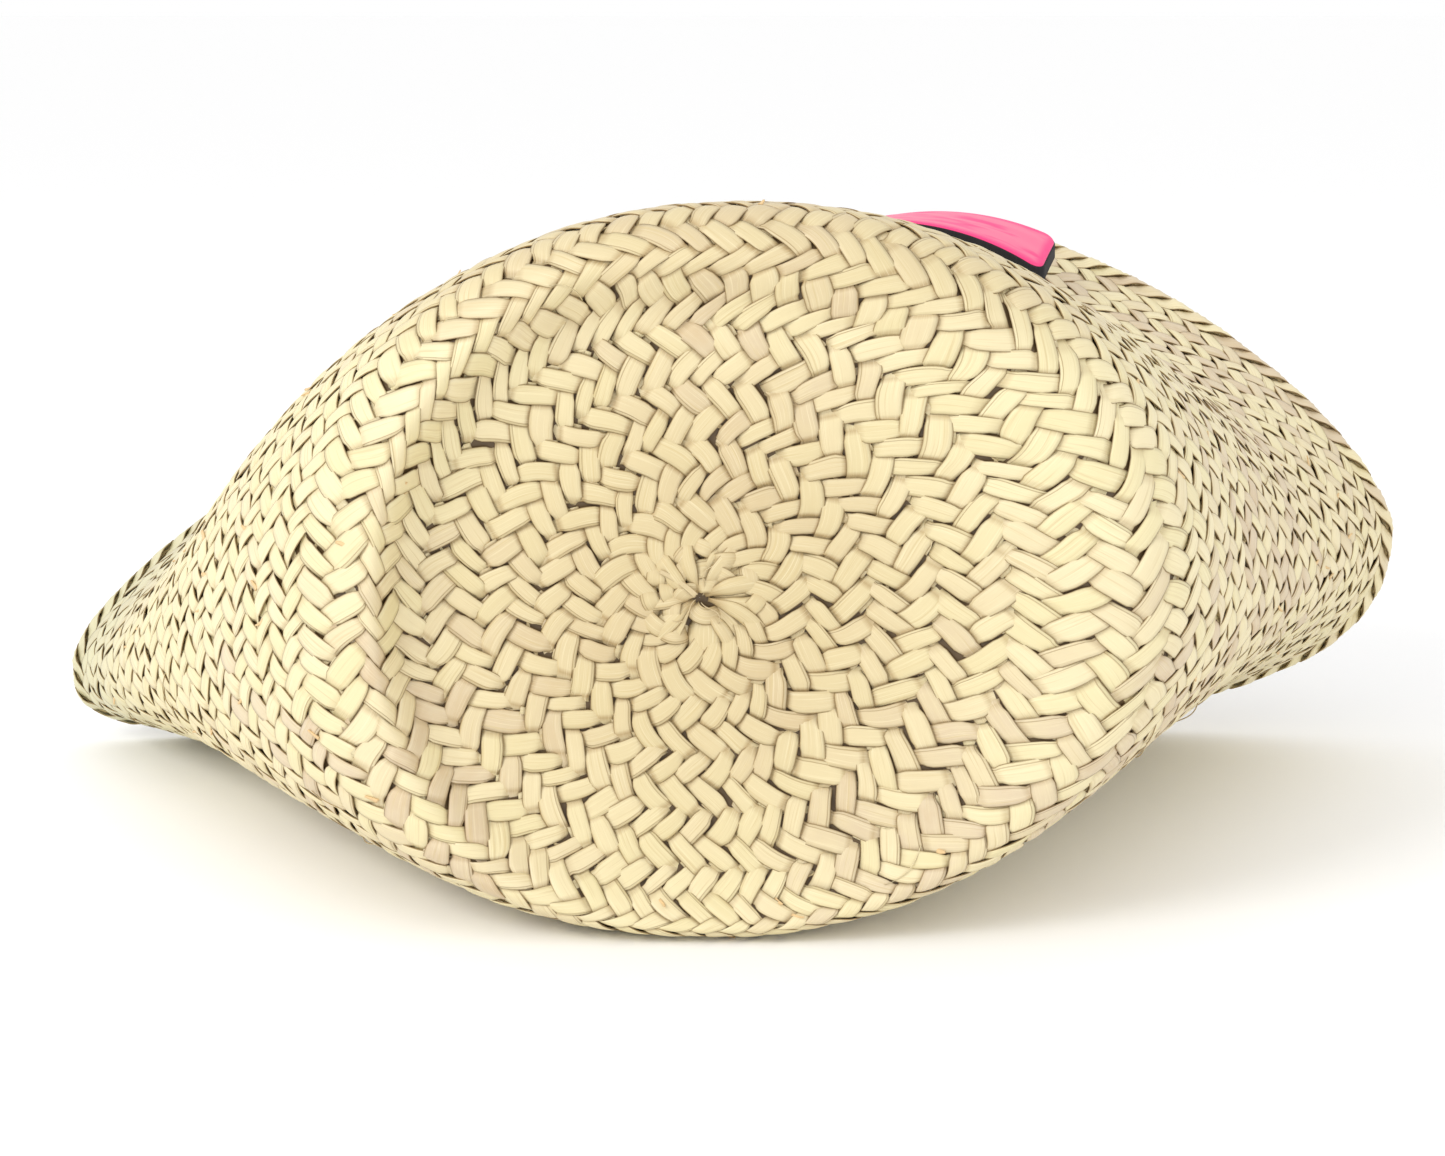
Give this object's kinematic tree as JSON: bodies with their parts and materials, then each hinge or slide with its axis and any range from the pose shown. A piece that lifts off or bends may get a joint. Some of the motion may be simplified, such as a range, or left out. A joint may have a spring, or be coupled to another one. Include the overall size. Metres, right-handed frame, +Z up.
{
  "type": "plaited palm-leaf basket",
  "caption": "Round-based plaited palm-leaf market basket lying on its side, flattened oval mouth at the back, with arched pink leather grab handles at the lip.",
  "frame": {"origin": "centre of the bounding box in plan, at floor height, with the basket lying on its side", "axes": "+X right when facing the round base, +Y from the base towards the mouth, +Z up"},
  "size_m": [0.5845, 0.304, 0.2578],
  "materials": {
    "palm_leaf": "dry plaited palm leaf, slightly glossy",
    "lacing_cord": "twisted palm cord, matte",
    "pink_leather": "smooth pink leather, satin",
    "black_core": "black edge-painted core, satin"
  },
  "bodies": {
    "basket": {"knot": "palm_leaf", "turn_01": "palm_leaf", "turn_02": "palm_leaf", "turn_03": "palm_leaf", "turn_04": "palm_leaf", "turn_05": "palm_leaf", "turn_06": "palm_leaf", "turn_07": "palm_leaf", "turn_08": "palm_leaf", "turn_09": "palm_leaf", "turn_10": "palm_leaf", "lacing_01": "lacing_cord", "lacing_02": "lacing_cord", "lacing_03": "lacing_cord", "lacing_04": "lacing_cord", "lacing_05": "lacing_cord", "lacing_06": "lacing_cord", "lacing_07": "lacing_cord", "lacing_08": "lacing_cord", "lacing_09": "lacing_cord", "lacing_10": "lacing_cord", "rim_roll": "palm_leaf", "upper_lashings": "lacing_cord", "upper_buttons": "pink_leather", "lower_lashings": "lacing_cord", "lower_buttons": "pink_leather"},
    "upper_handle": {"upper_leather": "pink_leather", "upper_core": "black_core", "upper_lining": "pink_leather"},
    "lower_handle": {"lower_leather": "pink_leather", "lower_core": "black_core", "lower_lining": "pink_leather"}
  },
  "joints": [
    {"name": "upper_handle_tip", "type": "hinge", "parent": "basket", "child": "upper_handle", "pos_m": [0.0862, 0.0998, 0.219], "axis": [0.9449, -0.32, -0.069], "range_deg": [-8, 8], "stiffness_Nm_per_rad": 0.3},
    {"name": "lower_handle_tip", "type": "hinge", "parent": "basket", "child": "lower_handle", "pos_m": [-0.0085, 0.1255, 0.0159], "axis": [0.9994, 0, 0.036], "range_deg": [-6, 6], "stiffness_Nm_per_rad": 0.3}
  ]
}
